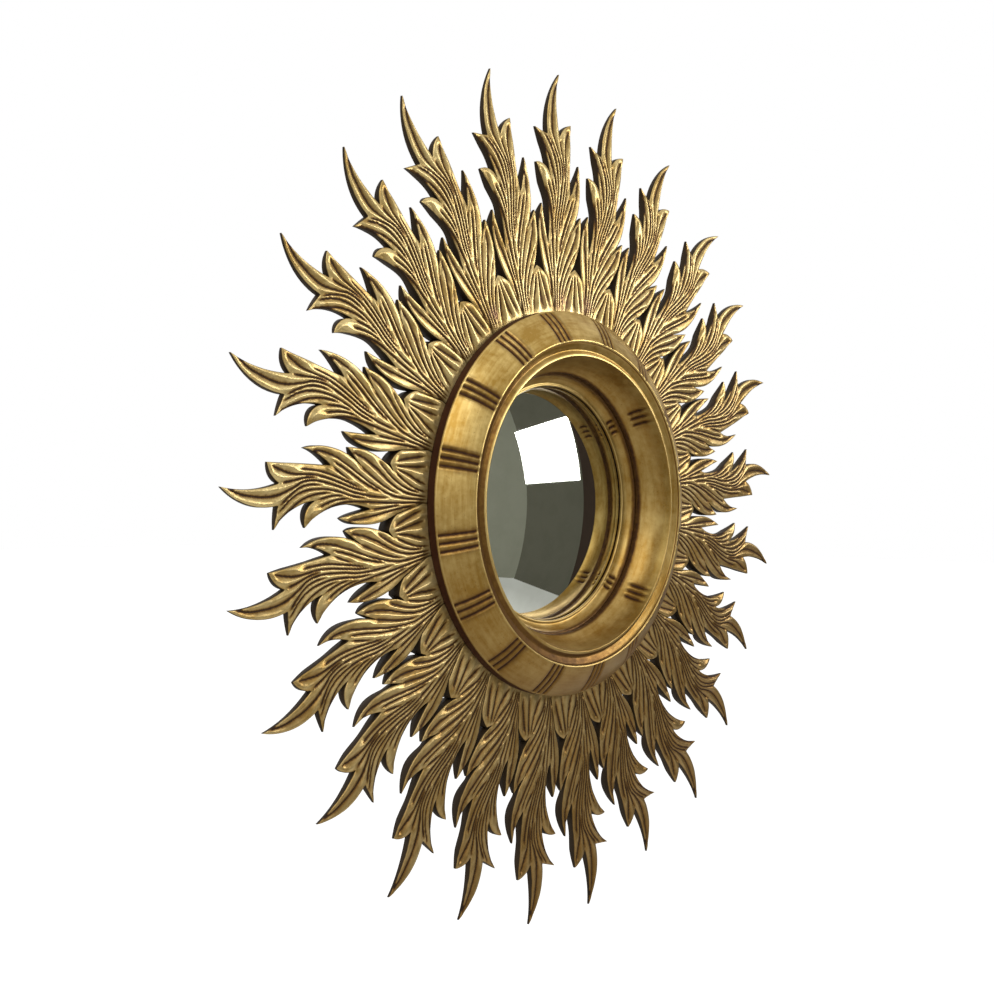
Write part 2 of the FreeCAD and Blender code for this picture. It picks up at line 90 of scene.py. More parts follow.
# The middles of the V-cuts, from the outer end towards the root, in the order in which
# they are made.  A cut stops where it runs into an earlier one.
VEINS = (
    # up the blade, the lower right, the lower left and the two root lobes
    ((8.0, 427.0), (2.5, 412.0), (0.5, 399.5), (-0.5, 385.5), (1.0, 372.0), (6.5, 358.0),
     (11.8, 347.0), (13.4, 335.0), (12.2, 322.0), (8.6, 305.0), (4.0, 288.0), (1.2, 268.0),
     (0.0, 245.0)),
    ((38.5, 338.0), (39.0, 325.0), (35.0, 310.0), (28.0, 295.5), (20.0, 281.0), (12.2, 266.0),
     (5.8, 250.5), (1.4, 236.0), (-0.4, 218.0), (-0.8, 197.0)),
    ((-23.5, 338.0), (-14.0, 322.0), (-7.5, 308.0), (-4.5, 292.5), (-4.2, 274.5), (-4.4, 252.5),
     (-4.4, 233.5), (-3.4, 197.0)),
    ((39.5, 288.5), (33.5, 272.0), (26.0, 259.0), (17.0, 246.5), (9.4, 234.0), (4.6, 220.5),
     (2.6, 207.0), (2.0, 197.0)),
    ((-21.5, 293.0), (-19.5, 277.5), (-16.0, 260.0), (-12.0, 242.0), (-8.8, 226.5),
     (-6.4, 210.0)),
    # up the two upper lobes
    ((-14.0, 372.0), (-2.5, 359.0), (3.5, 346.0), (5.8, 333.5), (6.0, 319.0), (4.0, 304.0),
     (0.8, 290.5), (-1.4, 272.0)),
    ((26.5, 380.5), (22.5, 370.0), (19.2, 358.5), (18.6, 345.5), (18.2, 332.0), (15.6, 317.5),
     (11.8, 303.5), (7.6, 288.0), (4.6, 272.0)),
    # the tongue
    ((29.0, 236.5), (28.8, 222.0), (29.0, 210.0), (29.8, 197.0)),
    ((23.8, 236.0), (15.5, 223.5), (9.0, 210.5), (6.0, 197.0)),
    ((26.0, 235.0), (22.0, 220.0), (17.0, 208.0), (13.0, 197.0)),
    ((33.4, 235.5), (36.0, 221.0), (38.0, 209.0), (40.0, 197.0)),
    # from the notches and between
    ((-11.0, 264.5), (-9.0, 248.0), (-7.0, 233.5), (-5.0, 213.5)),
    ((-3.5, 329.0), (0.0, 314.5), (0.6, 302.5), (-0.8, 289.5), (-1.8, 270.0), (-2.2, 251.0)),
    ((-10.0, 327.5), (-4.0, 311.5), (-2.0, 297.0), (-2.2, 282.0)),
    ((-24.0, 373.5), (-13.5, 361.0), (-4.0, 347.0), (1.0, 333.5), (2.8, 320.5), (2.4, 307.5)),
    ((-8.0, 370.5), (1.0, 359.5), (7.5, 348.0), (9.8, 336.5), (9.4, 325.0)),
    ((11.2, 369.0), (12.8, 358.5), (15.6, 344.0), (15.8, 330.5), (13.6, 317.5), (9.8, 303.0)),
    ((23.4, 350.0), (22.6, 335.0), (21.0, 323.5), (17.8, 310.5), (13.6, 297.0), (9.6, 284.5),
     (6.2, 270.0)),
    ((30.5, 312.0), (24.0, 297.0), (16.6, 283.0), (10.0, 269.0), (4.6, 254.5)),
    ((25.6, 312.5), (18.6, 300.0), (12.8, 288.0), (8.6, 276.0), (4.8, 262.5)),
    ((27.6, 278.5), (20.4, 266.5), (13.8, 255.5), (7.6, 243.0), (3.0, 230.0)),
    ((32.5, 256.5), (22.0, 244.0), (14.0, 232.0), (8.4, 219.5), (5.6, 207.0), (4.4, 197.0)),
)
CUTS_CLEAR = 2.2          # closest that two cuts run side by side
CUT_STEP = 1.6            # spacing of a cut's points
CUT_HEAD = 4              # points that a cut keeps, however near an earlier one is
CUT_SLOPE = 0.60          # depth of a V-cut against its half width
CUT_MOST = 3.0            # deepest
CUT_IN = 7.0              # length over which a cut sets in
CUT_OUT = 12.0            # and runs out
RIDGE_REACH = 6.5         # widest half of a V-cut
ROLL = 1.7                # how far the front rolls down to its edges
ROLL_REACH = 6.0          # and over what width
EDGE_ROUND = 1.4          # worn edge of the front
EDGE_NARROWS = 9.0        # this near a tip
CARVED_R = 186.0          # the carving starts here, under the turned ring
CARVE_STEP = 1.15         # spacing of the front's points
BACK_STEP = 6.0           # and of the back's
OUTLINE_STEP = 1.6
UNEVENNESS = 0.9          # of the carver's hand
REACH_SPARE = 0.3         # keeps the uneven tips inside the solid's

# Places rubbed to the bole: clockwise angle, distance from the axis, and spread.
RUBBED_PLACES = ((0.0, 206.0, 22.0), (352.0, 204.0, 14.0), (10.0, 210.0, 16.0),
                 (330.0, 212.0, 12.0))

# ------------------------------------------------------------------ turned pieces
TURNED_STEPS = 1152       # round the mirror

# A section's marks: where the band's and the cove's short cuts go, painted shade that is
# darkest on one side, hollows, outer walls and painted highlights on crests, lips and beads.
SECTION_MARKS = ("band", "cove", "painted_shade", "cut", "wall", "pale")
# Sections: where each part starts (radius, height), its bulge to the left of its way, the
# spacing of its points and its marks.  It runs to the next part's start.
RING_SECTION = (
    ((150.0, 29.0), 0.0, 20.0, {"wall": 1.0}),                  # seat on the rays
    ((196.0, 29.0), 0.0, 2.2, {"wall": 0.9, "cut": 0.5}),       # outer wall
    # painted highlight on the outer arris
    ((196.0, 39.2), 0.0, 0.8, {"pale": 0.5, "cut": 0.1}),
    ((195.0, 40.5), -2.0, 1.4, {"band": 1.0}),                  # band, nearly flat
    ((164.6, 62.2), 0.0, 0.7, {"pale": 1.0}),                   # crest, with a painted highlight
    ((163.0, 61.4), 0.0, 0.7, {"cut": 0.55, "painted_shade": 0.3}),      # quirk, with a painted shade line in its corner and painted shade
    ((162.6, 59.9), 0.0, 1.3, {"cut": 0.1, "painted_shade": 0.5}),       # cavetto, in painted shade that is darkest on one side
    ((155.0, 56.8), 0.0, 1.3, {"cut": 0.1, "painted_shade": 0.42}),
    ((151.2, 60.6), 0.0, 0.7, {"pale": 1.0}),                   # lip, with a painted highlight
    ((149.1, 60.8), 3.5, 1.6, {"cove": 1.0}),                   # cove
    ((134.0, 29.0), 0.0, 1.8, {"cut": 0.75}),                   # nose over the sight ring
    ((134.0, 23.5), 0.0, 6.0, {"wall": 1.0}),
    ((140.0, 23.5), 0.0, 12.0, {"wall": 1.0}),                  # rebate and spigot
    ((140.0, 4.0), 0.0, 10.0, {"wall": 1.0}),
    ((149.5, 4.0), 0.0, 26.0, {"wall": 1.0}),
)
SIGHT_SECTION = (
    ((139.7, 4.0), 0.0, 10.0, {"wall": 1.0}),
    ((139.7, 23.5), 0.0, 1.8, {"cut": 0.6}),                    # flat top
    ((132.5, 23.5), 1.6, 1.1, {"cove": 1.0}),                   # small cove
    ((124.0, 14.5), 0.0, 1.0, {"pale": 0.6}),                   # bead, with a painted highlight
    ((122.0, 15.5), 0.0, 0.7, {"pale": 1.0}),
    ((121.0, 14.5), 0.0, 1.2, {"cut": 0.3}),
    ((121.0, 12.0), 0.0, 5.0, {"wall": 1.0}),                   # seat of the glass
    ((126.0, 12.0), 0.0, 8.0, {"wall": 1.0}),
    ((126.0, 4.0), 0.0, 14.0, {"wall": 1.0}),
)

# Middles of the groups of three cuts, clockwise from the top, as unevenly as they are set,
# and the angle between the cuts of a group.
BAND_GROUPS = (12.0, 35.0, 57.0, 79.0, 102.5, 126.5, 150.0, 171.5, 194.0, 216.0, 238.0,
               258.5, 282.5, 304.3, 326.0, 347.5)
COVE_GROUPS = (50.0, 131.0, 230.0, 311.0)
BAND_CUTS_APART = 2.35
COVE_CUTS_APART = 3.1
SHORT_CUT_HALF_W = 3.0    # of the cuts in the turned pieces
SHORT_CUT_DEPTH = 2.1
DARKEST_SIDE = 240.0      # angle at which the painted shade in the hollows of the ring is darkest

# ------------------------------------------------------------------ glass
GLASS_R = 125.0
GLASS_T = 3.0
GLASS_SAG = 22.0
GLASS_RIM_H = 10.27       # of its front edge, as in the solid
GLASS_RINGS = 56          # rings of triangles from its middle to its rim

# ------------------------------------------------------------------ stage, in metres
CARD_R = 3.0
# Matt cards: heading from the wall's normal, width, height, middle's height, paint.
CARDS = (("grey_card_left", 166.0, 1.9, 3.6, 0.2, "#a2a294"),
         ("grey_card_middle", 133.0, 1.7, 3.6, 0.2, "#6c6a5e"),
         ("dark_card_right", 104.0, 1.5, 3.6, 0.2, "#3a2a20"))
# The softbox that the glass shows and a wide fill from the upper left: place, width,
# height, power.
LAMPS = (("softbox", (1.55, -1.53, 0.55), 1.2, 0.65, 22),
         ("fill", (-1.6, -1.6, 1.9), 1.8, 1.8, 26))
FLOOR_Z = -1.3
FLOOR_SIDE = 60
# The camera, as fitted to the photograph.
CAMERA_AT = (-1.1206, -0.9470, 0.0022)
CAMERA_TURN = (0.154, 0.671, 48.04)       # about each axis of the picture, in degrees
FOCAL_PX = 1408.9
FRAME_PX = 995
SENSOR_MM = 36.0


def linear(text):
    """An sRGB hex colour as linear RGBA."""
    parts = [int(text[i:i + 2], 16) / 255 for i in (1, 3, 5)]
    return tuple(c / 12.92 if c <= 0.04045 else ((c + 0.055) / 1.055) ** 2.4
                 for c in parts) + (1.0,)


# ------------------------------------------------------------------ nodes
def feed(tree, node, inputs):
    """Sets a node's sockets, or links them to the outputs given for them."""
    for key, value in inputs.items():
        if isinstance(value, bpy.types.NodeSocket):
            tree.links.new(value, node.inputs[key])
        else:
            node.inputs[key].default_value = value


def add(tree, kind, inputs=None, **settings):
    """Adds a node with its settings and what its sockets hold."""
    node = tree.nodes.new(kind)
    for name, value in settings.items():
        setattr(node, name, value)
    feed(tree, node, inputs or {})
    return node


def maths(tree, operation, *values):
    """The result of a Math node."""
    return add(tree, "ShaderNodeMath", dict(enumerate(values)), operation=operation).outputs[0]


def vectors(tree, operation, *values):
    """The result of a Vector Math node, a number for some operations."""
    inputs = dict(enumerate(values))
    if operation == "SCALE":
        inputs["Scale"] = inputs.pop(1)
    node = add(tree, "ShaderNodeVectorMath", inputs, operation=operation)
    number = operation in ("DOT_PRODUCT", "LENGTH", "DISTANCE")
    return node.outputs["Value" if number else "Vector"]


def ranged(tree, value, low, high, to_low=0.0, to_high=1.0, kind="LINEAR"):
    """A value taken from one range to another and kept within it."""
    return add(tree, "ShaderNodeMapRange", {
        "Value": value, "From Min": low, "From Max": high, "To Min": to_low,
        "To Max": to_high}, interpolation_type=kind).outputs[0]


def noise(tree, where, size, detail, roughness=0.5, distortion=0.0, out="Fac"):
    """Noise with lumps of a size in metres."""
    return add(tree, "ShaderNodeTexNoise", {
        "Vector": where, "Scale": 1 / size, "Detail": detail, "Roughness": roughness,
        "Distortion": distortion}).outputs[out]


def mixed(tree, share, first, second):
    """A colour between two, each an sRGB hex text or an output."""
    first, second = (linear(c) if isinstance(c, str) else c for c in (first, second))
    return add(tree, "ShaderNodeMix", {0: share, 6: first, 7: second},
               data_type="RGBA").outputs[2]


# ------------------------------------------------------------------ materials
def new_finish(name):
    """A material with its shader, its Object coordinates and its output linked."""
    finish = bpy.data.materials.new(name)
    finish.use_nodes = True
    tree = finish.node_tree
    tree.nodes.clear()
    shader = add(tree, "ShaderNodeBsdfPrincipled")
    add(tree, "ShaderNodeOutputMaterial", {"Surface": shader.outputs[0]})
    where = add(tree, "ShaderNodeTexCoord").outputs["Object"]
    return finish, tree, shader, where


def gilding(name, pale, middle, deep, hollow, wall_dark, wall_light, streak_way, speck_share,
            painted_shade_facing_down):
    """Water gilding on red bole over gesso, toned dark in the cuts, with painted highlights on
    the ridges and painted shade towards the lower right and where it faces down: a soft broken
    gold sheen, brown hollows and dark outer walls, their dark partly painted shade.

    The marks on the mesh say what lies in a cut, on an outer wall, rubbed, and where a highlight
    is painted; on the turned pieces the cut mark also holds painted shade.
    Streaks run by shares of the heading from the axis, the place and the distance out."""
    finish, tree, shader, where = new_finish(name)
    cut, wall, rub, painted_highlight = (add(tree, "ShaderNodeAttribute", attribute_name=mark).outputs["Fac"]
                             for mark in ("cut", "wall", "rub", "pale"))
    # cloudy toning, mottled leaf, and specks and pin holes drawn coarse enough to show
    clouds = noise(tree, where, 0.035, 4.0, 0.6)
    mottle = noise(tree, where, 0.006, 4.0, 0.6)
    specks = noise(tree, where, 0.0016, 2.0)
    # brush streaks along the ray or round the turned piece
    by_heading, by_place, by_radius = streak_way
    flat = vectors(tree, "MULTIPLY", where, (1.0, 0.0, 1.0))
    radius = maths(tree, "MULTIPLY", vectors(tree, "LENGTH", flat), by_radius)
    radius = add(tree, "ShaderNodeCombineXYZ", {"Y": radius}).outputs[0]
    heading = vectors(tree, "SCALE", vectors(tree, "NORMALIZE", flat), by_heading)
    way = vectors(tree, "ADD", heading, vectors(tree, "SCALE", flat, by_place))
    streaks = noise(tree, vectors(tree, "ADD", way, radius), 0.0025, 3.0)
    tone = maths(tree, "MULTIPLY_ADD", mottle, 0.45, clouds)
    tone = maths(tree, "MULTIPLY_ADD", streaks, 0.5, tone)
    # painted highlight: paler where the mesh marks one
    tone = maths(tree, "MULTIPLY_ADD", painted_highlight, 0.32, tone)
    gold = mixed(tree, ranged(tree, tone, 0.8, 1.3), middle, pale)
    # painted shade: browner and darker below and to the right
    side = vectors(tree, "DOT_PRODUCT", where, (-0.45, 0.0, 1.0))
    gold = mixed(tree, ranged(tree, side, 0.2, -0.36, 0.0, 0.72), gold, deep)
    # painted shade: duller and browner where it faces down
    facing = add(tree, "ShaderNodeNewGeometry").outputs["Normal"]
    down = vectors(tree, "DOT_PRODUCT", facing, (0.0, 0.0, -1.0))
    gold = mixed(tree, ranged(tree, down, -0.1, 0.6, 0.0, painted_shade_facing_down), gold, deep)
    # cuts go to brown, then to bare dark bole, with a broken edge; on the turned pieces this
    # mark also holds painted shade
    broken = maths(tree, "SUBTRACT", mottle, 0.5)
    cut = maths(tree, "MULTIPLY_ADD", broken, 0.5, cut)
    brown = ranged(tree, cut, 0.08, 0.55, kind="SMOOTHSTEP")
    dark = ranged(tree, cut, 0.45, 0.9, kind="SMOOTHSTEP")
    gold = mixed(tree, brown, gold, "#694a20")
    gold = mixed(tree, dark, gold, hollow)
    # rubbed places show pinkish bole, specks show the dark ground
    rubbed = ranged(tree, maths(tree, "MULTIPLY", rub, mottle), 0.25, 0.6, 0.0, 0.5)
    gold = mixed(tree, rubbed, gold, "#96705a")
    speck = ranged(tree, specks, 0.67, 0.75, 0.0, speck_share)
    gold = mixed(tree, speck, gold, "#3c2412")
    # outer walls and backs are toned, not gilt; on the side walls their dark colour is also
    # painted shade
    wall = maths(tree, "MULTIPLY_ADD", broken, 0.5, wall)
    wall = ranged(tree, wall, 0.25, 0.75, kind="SMOOTHSTEP")
    painted = mixed(tree, clouds, wall_dark, wall_light)
    bare = maths(tree, "MAXIMUM", dark, wall)
    rough = maths(tree, "MULTIPLY_ADD", mottle, 0.2, 0.26)
    tooled = maths(tree, "ADD", streaks, mottle)
    feed(tree, shader, {
        "Base Color": mixed(tree, wall, gold, painted),
        "Metallic": ranged(tree, bare, 0.0, 1.0, 0.75, 0.05),
        "Roughness": maths(tree, "MULTIPLY_ADD", bare, 0.25, rough),
        "Normal": add(tree, "ShaderNodeBump", {
            "Strength": 0.3, "Distance": 0.0004, "Height": tooled}).outputs[0],
        "Specular IOR Level": 0.15})
    return finish


def silvered_glass():
    """Clear glass silvered on its back: one clean bright reflection, faintly green, with
    faint foxing of the old silvering."""
    finish, tree, shader, where = new_finish("silvered_glass")
    foxing = noise(tree, where, 0.025, 6.0, 0.6)
    share = ranged(tree, foxing, 0.45, 0.75, 0.0, 0.35)
    feed(tree, shader, {
        "Base Color": mixed(tree, share, "#d9dcd2", "#b9bcae"),
        "Roughness": ranged(tree, foxing, 0.0, 1.0, 0.012, 0.035),
        "Metallic": 1.0})
    return finish


def fibrous(name, light, dark, grain_stretch, grain_mm, roughness):
    """Bare wood, board or felt: fine fibres of two tones with a dry, low sheen."""
    finish, tree, shader, where = new_finish(name)
    along = vectors(tree, "MULTIPLY", where, grain_stretch)
    grain = noise(tree, along, grain_mm * MM, 6.0, 0.6, 0.4)
    clouds = noise(tree, where, 0.06, 3.0)
    share = ranged(tree, maths(tree, "MULTIPLY_ADD", clouds, 0.5, grain), 0.5, 1.0)
    feed(tree, shader, {
        "Base Color": mixed(tree, share, dark, light),
        "Roughness": roughness,
        "Normal": add(tree, "ShaderNodeBump", {
            "Strength": 0.4, "Distance": 0.0003, "Height": grain}).outputs[0]})
    return finish


def bare_metal(name, clean, dull, roughness):
    """Plain drawn or pressed metal, dulled in small patches by age."""
    finish, tree, shader, where = new_finish(name)
    tarnish = ranged(tree, noise(tree, where, 0.003, 5.0), 0.4, 0.65)
    feed(tree, shader, {
        "Base Color": mixed(tree, tarnish, clean, dull),
        "Roughness": ranged(tree, tarnish, 0.0, 1.0, roughness, roughness + 0.2),
        "Metallic": 1.0})
    return finish


RAY_GOLD = gilding(
    "gold_leaf_on_carved_rays", pale="#e4cd92", middle="#ac8d50", deep="#765428",
    hollow="#2b1a0a", wall_dark="#191309", wall_light="#43331f",
    streak_way=(0.3, 0.0, 0.1), speck_share=0.3, painted_shade_facing_down=0.0)
RING_GOLD = gilding(
    "gold_leaf_on_turned_ring", pale="#dcc07a", middle="#a3803a", deep="#6b4a1e",
    hollow="#361d0d", wall_dark="#2a140a", wall_light="#4a2a18",
    streak_way=(0.0, 0.07, 1.0), speck_share=0.5, painted_shade_facing_down=0.5)
MIRROR_SILVER = silvered_glass()
CARRIER_PLY = fibrous("birch_plywood_stained", "#7a5a3a", "#4e3521", (1.0, 1.0, 0.12), 2.0, 0.75)
BACK_HARDBOARD = fibrous("hardboard", "#6b4a31", "#4d3322", (1.0, 1.0, 1.0), 1.2, 0.8)
PACKING_FELT = fibrous("grey_felt", "#6d6a64", "#4a4844", (1.0, 1.0, 1.0), 0.8, 0.95)
ZINC = bare_metal("zinc_plated_steel", "#b9bcc0", "#85888b", 0.35)
BRASS = bare_metal("brass", "#b8974f", "#7d6232", 0.35)
STEEL = bare_metal("pressed_steel", "#8f9194", "#5c5a57", 0.4)


# ------------------------------------------------------------------ meshes
def new_object(name, data):
    """A new object in the scene, at the origin."""
    item = bpy.data.objects.new(name, data)
    bpy.context.scene.collection.objects.link(item)
    return item


def mark_points(mesh, mark, values, kind="FLOAT"):
    """Writes named numbers or vectors on a mesh's points."""
    layer = mesh.attributes.new(mark, kind, "POINT")
    layer.data.foreach_set("value" if kind == "FLOAT" else "vector",
                           np.asarray(values, np.float32).ravel())


def mesh_from(name, points, faces, marks):
    """A smooth mesh from points in metres, with named numbers on its points."""
    mesh = bpy.data.meshes.new(name)
    mesh.from_pydata([tuple(p) for p in points], [], faces)
    mesh.validate()
    for mark, values in marks.items():
        mark_points(mesh, mark, values)
    mesh.polygons.foreach_set("use_smooth", [True] * len(mesh.polygons))
    return mesh


def new_group(name, shape_name, numbers):
    """A Geometry Nodes tree that takes a shape, numbers and a finish: it and its inputs."""
    tree = bpy.data.node_groups.new(name, "GeometryNodeTree")
    sockets = [(shape_name, "Geometry", None), *numbers, ("Finish", "Material", None)]
    for label, kind, value in sockets:
        socket = tree.interface.new_socket(label, in_out="INPUT",
                                           socket_type="NodeSocket" + kind)
        if value is not None:
            socket.default_value = value
    tree.interface.new_socket("Geometry", in_out="OUTPUT", socket_type="NodeSocketGeometry")
    return tree, add(tree, "NodeGroupInput").outputs


def turned_by(tree, vector, angle):
    """A vector turned about the mirror's axis."""
    return add(tree, "ShaderNodeVectorRotate", {"Vector": vector, "Angle": angle},
               rotation_type="Y_AXIS").outputs[0]


def give_out(tree, shape, finish):
    """Ends a Geometry Nodes tree with real geometry in its finish."""
    shape = add(tree, "GeometryNodeRealizeInstances", {0: shape}).outputs[0]
    shape = add(tree, "GeometryNodeSetMaterial", {"Geometry": shape,
                                                  "Material": finish}).outputs[0]
    add(tree, "NodeGroupOutput", {0: shape})


def worked_mesh(name, mesh, tree, values):
    """An object with the mesh that a node tree makes from another, and no modifier."""
    holder = new_object(name, mesh)
    modifier = holder.modifiers.new("shape", "NODES")
    modifier.node_group = tree
    sockets = {s.name: s.identifier for s in tree.interface.items_tree
               if s.in_out == "INPUT"}
    for key, value in values.items():
        modifier[sockets[key]] = value
    bpy.context.view_layer.update()
    graph = bpy.context.evaluated_depsgraph_get()
    result = bpy.data.meshes.new_from_object(holder.evaluated_get(graph))
    holder.modifiers.clear()
    holder.data = result
    return holder


# ------------------------------------------------------------------ carved ray
def arc_points(start, through, end, step):
    """Points from start up to, not with, end along the arc through the middle point."""
    a, b, c = (np.array(p, float) for p in (start, through, end))
    d = 2 * (a[0] * (b[1] - c[1]) + b[0] * (c[1] - a[1]) + c[0] * (a[1] - b[1]))
    ux = ((a @ a) * (b[1] - c[1]) + (b @ b) * (c[1] - a[1]) + (c @ c) * (a[1] - b[1])) / d
    uy = ((a @ a) * (c[0] - b[0]) + (b @ b) * (a[0] - c[0]) + (c @ c) * (b[0] - a[0])) / d
    middle = np.array([ux, uy])
    radius = np.linalg.norm(a - middle)
    first, mid, last = (math.atan2(*(p - middle)[::-1]) for p in (a, b, c))
    full = 2 * math.pi
    to_mid = (mid - first) % full
    to_last = (last - first) % full
    if to_mid > to_last:
        to_last -= full
    count = max(2, round(abs(to_last) * radius / step))
    angles = first + to_last * np.arange(count) / count
    return [tuple(middle + radius * np.array([math.cos(t), math.sin(t)])) for t in angles]


def run_points(start, end, step):
    """Points from start up to, not with, end along a straight edge."""
    a, b = np.array(start, float), np.array(end, float)
    count = max(1, round(np.linalg.norm(b - a) / step))
    return [tuple(a + (b - a) * i / count) for i in range(count)]


def spun(point, degrees):
    """A front point turned clockwise about the mirror's axis."""
    t = math.radians(degrees)
    return (point[0] * math.cos(t) + point[1] * math.sin(t),
            point[1] * math.cos(t) - point[0] * math.sin(t))


def leaf_outline(step):
    """The outline of the typical ray, the same as the solid's."""
    lean = math.atan2(JOINT_FOOT[0], JOINT_FOOT[1])
    inner = (INNER_R * math.sin(lean), INNER_R * math.cos(lean))
    points = run_points(inner, JOINT_FOOT, 4 * step) + run_points(JOINT_FOOT, JOINT_HEAD, step)
    corner = JOINT_HEAD
    for rising, tip, falling, notch in LOBES:
        for through, end in ((rising, tip), (falling, notch)):
            points += (arc_points(corner, through, end, step) if through
                       else run_points(corner, end, step))
            corner = end
    far_head, far_foot, far_inner = (spun(p, RAY_PITCH) for p in
                                     (JOINT_HEAD, JOINT_FOOT, inner))
    points += arc_points(corner, TONGUE_LEFT_BULGE, TONGUE_TIP, step)
    points += arc_points(TONGUE_TIP, TONGUE_RIGHT_BULGE, far_head, step)
    points += run_points(far_head, far_foot, step)
    points += run_points(far_foot, far_inner, 4 * step)
    points += arc_points(far_inner, spun(inner, RAY_PITCH / 2), inner, 4 * step)
    return np.array(points)


def flowing(points, step):
    """Points along the smooth curve through the given ones."""
    p = np.array(points, float)
    p = np.vstack([2 * p[0] - p[1], p, 2 * p[-1] - p[-2]])
    run = []
    for a, b, c, d in zip(p, p[1:], p[2:], p[3:]):
        t = np.arange(0, 1, min(0.5, step / np.linalg.norm(c - b)))[:, None]
        run.append(b + 0.5 * ((c - a) * t + (2 * a - 5 * b + 4 * c - d) * t ** 2
                              + (3 * b - a - 3 * c + d) * t ** 3))
    return np.vstack(run + [p[-2:-1]])


def nearest(points, path):
    """Distance of each point to a path, and how far along the path, 0 to 1."""
    best = np.full(len(points), 1e9)
    share = np.zeros(len(points))
    legs = len(path) - 1
    for i in range(legs):
        a, d = path[i], path[i + 1] - path[i]
        t = np.clip(((points - a) @ d) / (d @ d), 0, 1)
        gap = np.linalg.norm(points - a - t[:, None] * d, axis=1)
        closer = gap < best
        best[closer] = gap[closer]
        share[closer] = ((i + t) / legs)[closer]
    return best, share


def made_cuts():
    """The V-cuts as they come out, each stopped where it runs into an earlier one."""
    made = []
    for vein in VEINS:
        path = flowing(vein, CUT_STEP)
        if made:
            gap = np.min([nearest(path, other)[0] for other in made], axis=0)
            met = np.nonzero(gap[CUT_HEAD:] < CUTS_CLEAR)[0]
            if len(met):
                path = path[:met[0] + CUT_HEAD]
        made.append(path)
    return made


def carved_depth(points, edge_gap, cuts):
    """Depth of the carving under the flat front, how dark it lies in a cut, and how strong the
    painted highlight is on the crest between cuts."""
    gaps, shares = (np.array(v) for v in zip(*(nearest(points, path) for path in cuts)))
    order = np.argsort(gaps, axis=0)
    first, second = np.take_along_axis(gaps, order[:2], 0)
    along = np.take_along_axis(shares, order[:1], 0)[0]
    length = np.array([CUT_STEP * len(path) for path in cuts])[order[0]]
    # the V reaches to the ridge midway between two cuts, or to the edge
    half = np.clip((first + second) / 2, 0.5, RIDGE_REACH)
    half = np.minimum(half, first + np.maximum(edge_gap, 0.6))
    inside = np.clip(first / half, 0, 1)
    most = np.minimum(half * CUT_SLOPE + 0.3, CUT_MOST)
    fade = np.clip(0.25 + along * length / CUT_IN, 0, 1)
    fade *= np.clip(0.2 + (1 - along) * length / CUT_OUT, 0, 1)
    roll = ROLL * np.clip(1 - edge_gap / ROLL_REACH, 0, 1) ** 2
    depth = most * fade * (1 - inside) ** 1.35 + roll
    line = np.clip(1.35 - first / 1.1, 0, 1)
    cut = np.maximum(line, 0.5 * (1 - inside) ** 1.2) * fade
    # painted highlight, strongest midway between cuts and fainter near the edge
    pale = 0.7 * inside ** 4 * np.clip(edge_gap / 3, 0.3, 1)
    return depth, cut, pale


def within(points, closed):
    """Which points lie inside a closed outline."""
    cross = np.zeros(len(points), int)
    for a, b in zip(closed[:-1], closed[1:]):
        span = (a[1] > points[:, 1]) != (b[1] > points[:, 1])
        if span.any():
            reach = (b[0] - a[0]) * (points[:, 1] - a[1]) / (b[1] - a[1] + 1e-12) + a[0]
            cross += span & (points[:, 0] < reach)
    return cross % 2 == 1


def staggered(low, high, step):
    """Points on a staggered grid."""
    across = np.arange(low[0], high[0], step)
    rows = np.arange(low[1], high[1], step * 0.87)
    return np.array([(x + (step / 2 if i % 2 else 0), z)
                     for i, z in enumerate(rows) for x in across])


def filled(points, edges, rim_count):
    """Triangles that fill the closed rim at the head of the points: the points, the
    triangles, and where each point of the rim has gone."""
    result = delaunay_2d_cdt([Vector(p) for p in points], edges,
                             [list(range(rim_count))[::-1]], 1, 1e-4)
    came = {k: index for index, from_ones in enumerate(result[3]) for k in from_ones}
    return (np.array([tuple(v) for v in result[0]]), [tuple(f) for f in result[2]],
            np.array([came[k] for k in range(rim_count)]))


def typical_front(shoulder, closed, cuts):
    """The front of the typical ray as flat triangles, with an edge down every cut."""
    n = len(shoulder)
    grid = staggered(closed.min(0), closed.max(0), CARVE_STEP)
    grid = grid[grid[:, 1] > CARVED_R]
    grid = grid[within(grid, closed)]
    grid = grid[nearest(grid, closed)[0] > EDGE_ROUND + 0.45]
    clear = np.ones(len(grid), bool)
    for path in cuts:
        clear &= nearest(grid, path)[0] > 0.5
    flat = np.vstack(cuts)
    keep = within(flat, closed) & (nearest(flat, closed)[0] > EDGE_ROUND + 0.3)
    numbers = np.where(keep, n + np.cumsum(keep) - 1, -1)
    edges, base = [], 0
    for path in cuts:
        own = numbers[base:base + len(path)]
        edges += [(int(a), int(b)) for a, b in zip(own, own[1:]) if a >= 0 and b >= 0]
        base += len(path)
    return filled(np.vstack([shoulder, flat[keep], grid[clear]]), edges, n)


